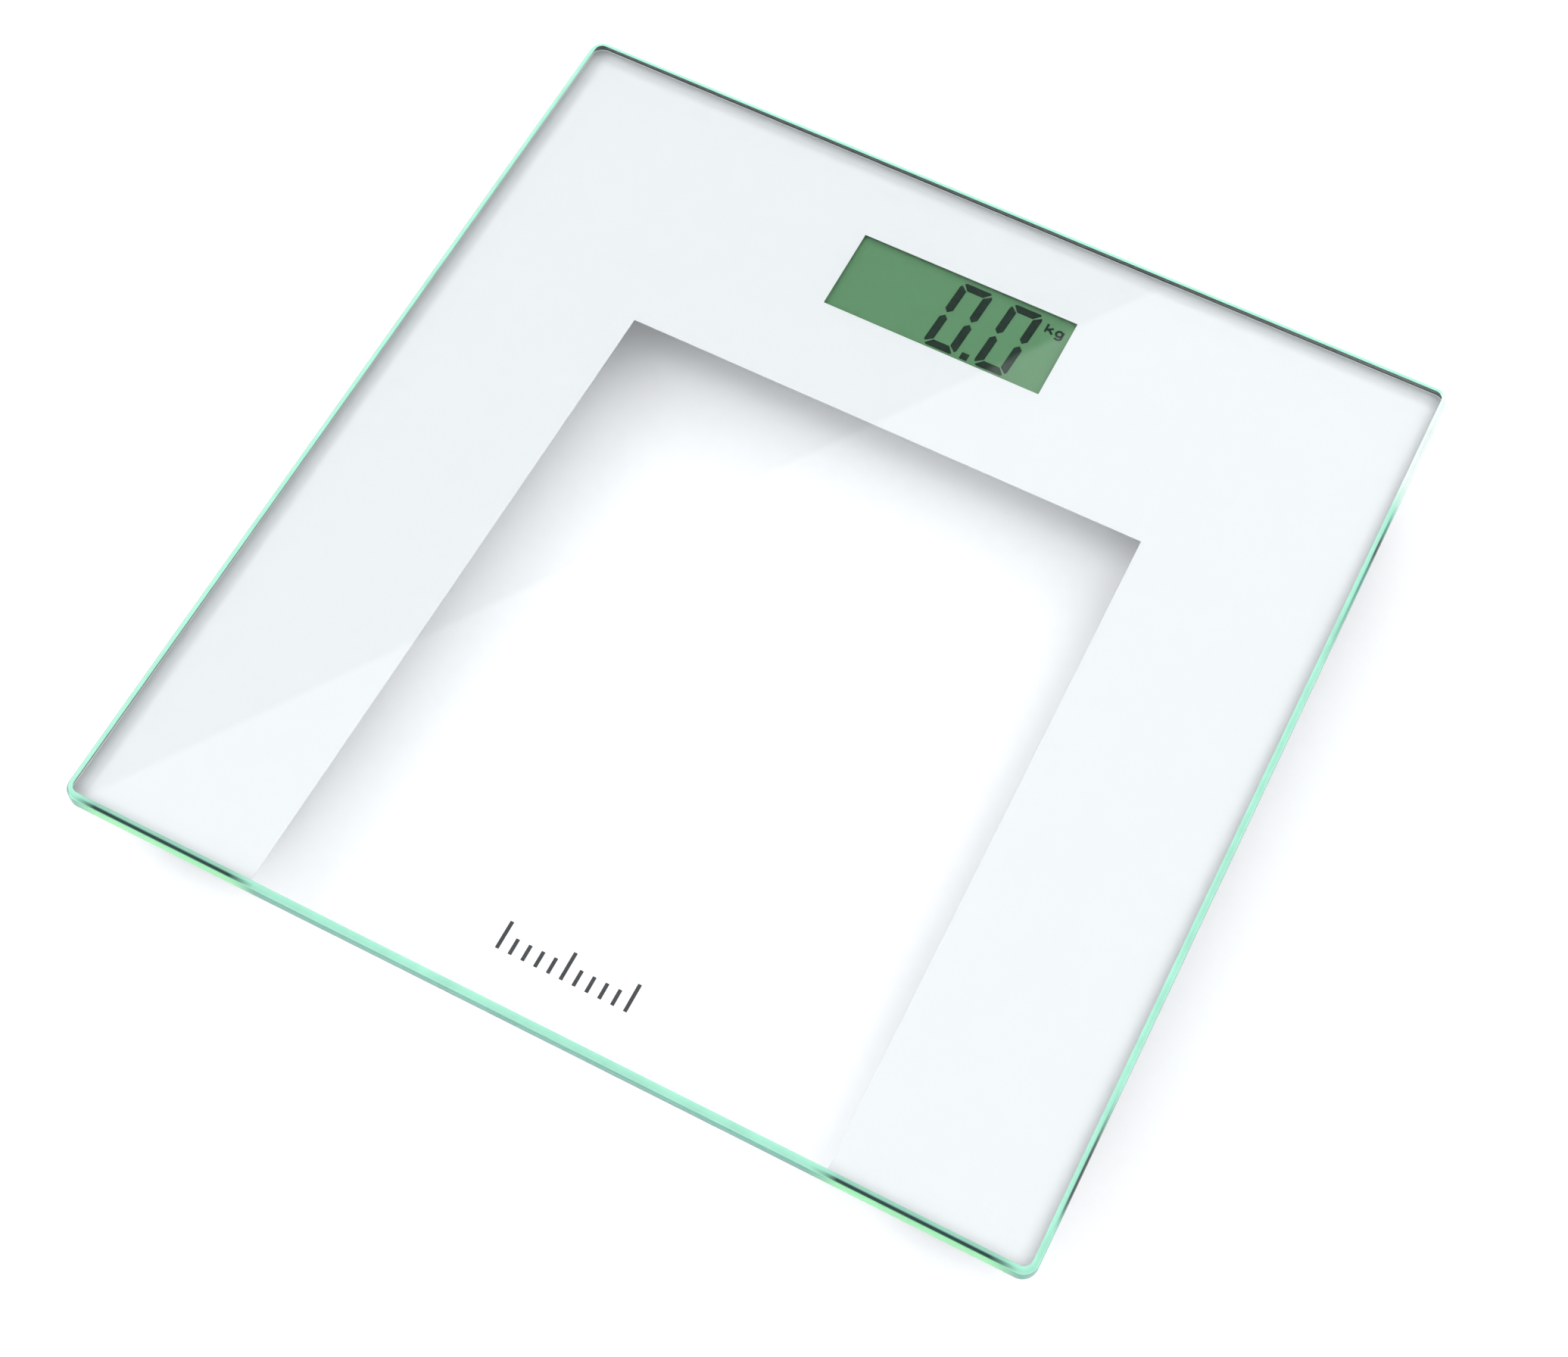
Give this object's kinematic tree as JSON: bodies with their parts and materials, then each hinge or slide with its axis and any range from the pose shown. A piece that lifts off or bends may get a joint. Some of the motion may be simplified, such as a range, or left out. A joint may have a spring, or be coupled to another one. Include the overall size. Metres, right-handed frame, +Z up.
{
  "type": "bathroom scale",
  "caption": "Electronic person scale: a clear toughened glass plate with a printed border and a recessed display, on corner feet that hold load cells.",
  "frame": {"origin": "on the floor under the middle of the glass plate", "axes": "+Z up, +Y from the standing edge to the display edge, +X to the right of the person standing on it"},
  "size_m": [0.3, 0.31, 0.022],
  "materials": {
    "float_glass": "polished, rounded edge",
    "screen_ink": "smooth printed ink seen through glass",
    "mark_ink": "printed ink seen through glass",
    "black_foam": "closed-cell foam",
    "white_foam": "closed-cell foam tape",
    "abs_case": "fine moulded texture",
    "abs_door": "fine moulded texture",
    "abs_channel": "satin extrusion",
    "abs_bracket": "fine moulded texture",
    "abs_foot": "fine moulded texture",
    "abs_holder": "satin",
    "button_plastic": "satin dished cap",
    "switch_plastic": "moulded",
    "plated_screw": "nickel plated",
    "polariser": "film",
    "panel_glass": "polished",
    "reflector": "transflective film",
    "elastomer": "layered elastomer",
    "board_laminate": "solder mask",
    "black_epoxy": "cast epoxy",
    "chip_ceramic": "fired",
    "solder": "wetted solder",
    "nickel_spring": "nickel plated",
    "cell_steel": "drawn stainless steel",
    "gauge_steel": "stamped and zinc plated",
    "silicone": "cured silicone",
    "foot_rubber": "moulded tread",
    "pvc_red": "PVC insulation",
    "pvc_white": "PVC insulation",
    "pvc_black": "PVC insulation"
  },
  "bodies": {
    "platform": {"board_screws": "plated_screw", "chip_cover": "black_epoxy", "coin_cell": "cell_steel", "contact_negative": "nickel_spring", "contact_positive": "nickel_spring", "contact_strip": "elastomer", "cover_screws": "plated_screw", "display_gasket": "black_foam", "display_housing": "abs_case", "foot_bracket_front_left": "abs_bracket", "foot_bracket_front_right": "abs_bracket", "foot_bracket_rear_left": "abs_bracket", "foot_bracket_rear_right": "abs_bracket", "foot_tape_front_left": "white_foam", "foot_tape_front_right": "white_foam", "foot_tape_rear_left": "white_foam", "foot_tape_rear_right": "white_foam", "gauge_potting_front_left": "silicone", "gauge_potting_front_right": "silicone", "gauge_potting_rear_left": "silicone", "gauge_potting_rear_right": "silicone", "glass_platform": "float_glass", "housing_cover": "abs_case", "housing_tape": "white_foam", "lead_black": "pvc_black", "lead_red": "pvc_red", "lead_white": "pvc_white", "load_cell_front_left": "gauge_steel", "load_cell_front_right": "gauge_steel", "load_cell_rear_left": "gauge_steel", "load_cell_rear_right": "gauge_steel", "main_board": "board_laminate", "panel_back_glass": "panel_glass", "panel_front_film": "polariser", "panel_front_glass": "panel_glass", "panel_holder": "abs_holder", "panel_reflector": "reflector", "printed_band": "screen_ink", "printed_mark": "mark_ink", "rear_channel_left": "abs_channel", "rear_channel_right": "abs_channel", "side_channel_left": "abs_channel", "side_channel_right": "abs_channel", "solder_joints": "solder", "surface_parts": "chip_ceramic", "tact_switch": "switch_plastic"},
    "foot_front_left": {"foot_cap_front_left": "abs_foot", "foot_pad_front_left": "foot_rubber"},
    "foot_front_right": {"foot_cap_front_right": "abs_foot", "foot_pad_front_right": "foot_rubber"},
    "foot_rear_left": {"foot_cap_rear_left": "abs_foot", "foot_pad_rear_left": "foot_rubber"},
    "foot_rear_right": {"foot_cap_rear_right": "abs_foot", "foot_pad_rear_right": "foot_rubber"},
    "battery_door": {"battery_door": "abs_door"},
    "unit_button": {"unit_button": "button_plastic", "switch_plunger": "switch_plastic"}
  },
  "joints": [
    {"name": "foot_float_front_left", "type": "slide", "parent": "platform", "child": "foot_front_left", "axis": [0, 0, -1], "range_m": [0, 0.0008]},
    {"name": "foot_float_front_right", "type": "slide", "parent": "platform", "child": "foot_front_right", "axis": [0, 0, -1], "range_m": [0, 0.0008]},
    {"name": "foot_float_rear_left", "type": "slide", "parent": "platform", "child": "foot_rear_left", "axis": [0, 0, -1], "range_m": [0, 0.0008]},
    {"name": "foot_float_rear_right", "type": "slide", "parent": "platform", "child": "foot_rear_right", "axis": [0, 0, -1], "range_m": [0, 0.0008]},
    {"name": "battery_door_slide", "type": "slide", "parent": "platform", "child": "battery_door", "axis": [-1, 0, 0], "range_m": [0, 0.022]},
    {"name": "unit_button_press", "type": "slide", "parent": "platform", "child": "unit_button", "axis": [0, 0, 1], "range_m": [0, 0.0005], "stiffness_N_per_m": 1000}
  ]
}
